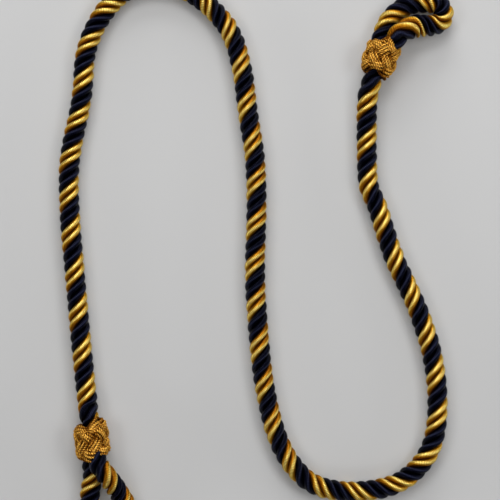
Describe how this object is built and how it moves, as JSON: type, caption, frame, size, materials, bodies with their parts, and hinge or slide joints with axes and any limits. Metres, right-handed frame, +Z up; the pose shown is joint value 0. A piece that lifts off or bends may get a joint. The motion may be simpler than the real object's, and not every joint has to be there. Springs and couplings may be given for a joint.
{
  "type": "military lanyard",
  "caption": "Thick twisted two-colour shoulder cord laid in an S, with a small eye at each end and a woven Turk's head knot over each join.",
  "frame": {"origin": "middle of the laid lanyard's outline, on the surface that it lies on", "axes": "+Z up from the surface, +Y along the long runs of the S towards its upper bend, +X towards the run that carries knot_a"},
  "size_m": [0.1576, 0.2307, 0.0157],
  "materials": {
    "cord": "satin gimped strands, two near-black navy and two old gold, laid up right-handed",
    "knot_thread": "fine two-ply twisted gold thread, softly shiny"
  },
  "bodies": {
    "root": {"main_cord": "cord", "eye_a": "cord", "eye_b": "cord", "knot_a": "knot_thread", "knot_b": "knot_thread"}
  },
  "joints": []
}
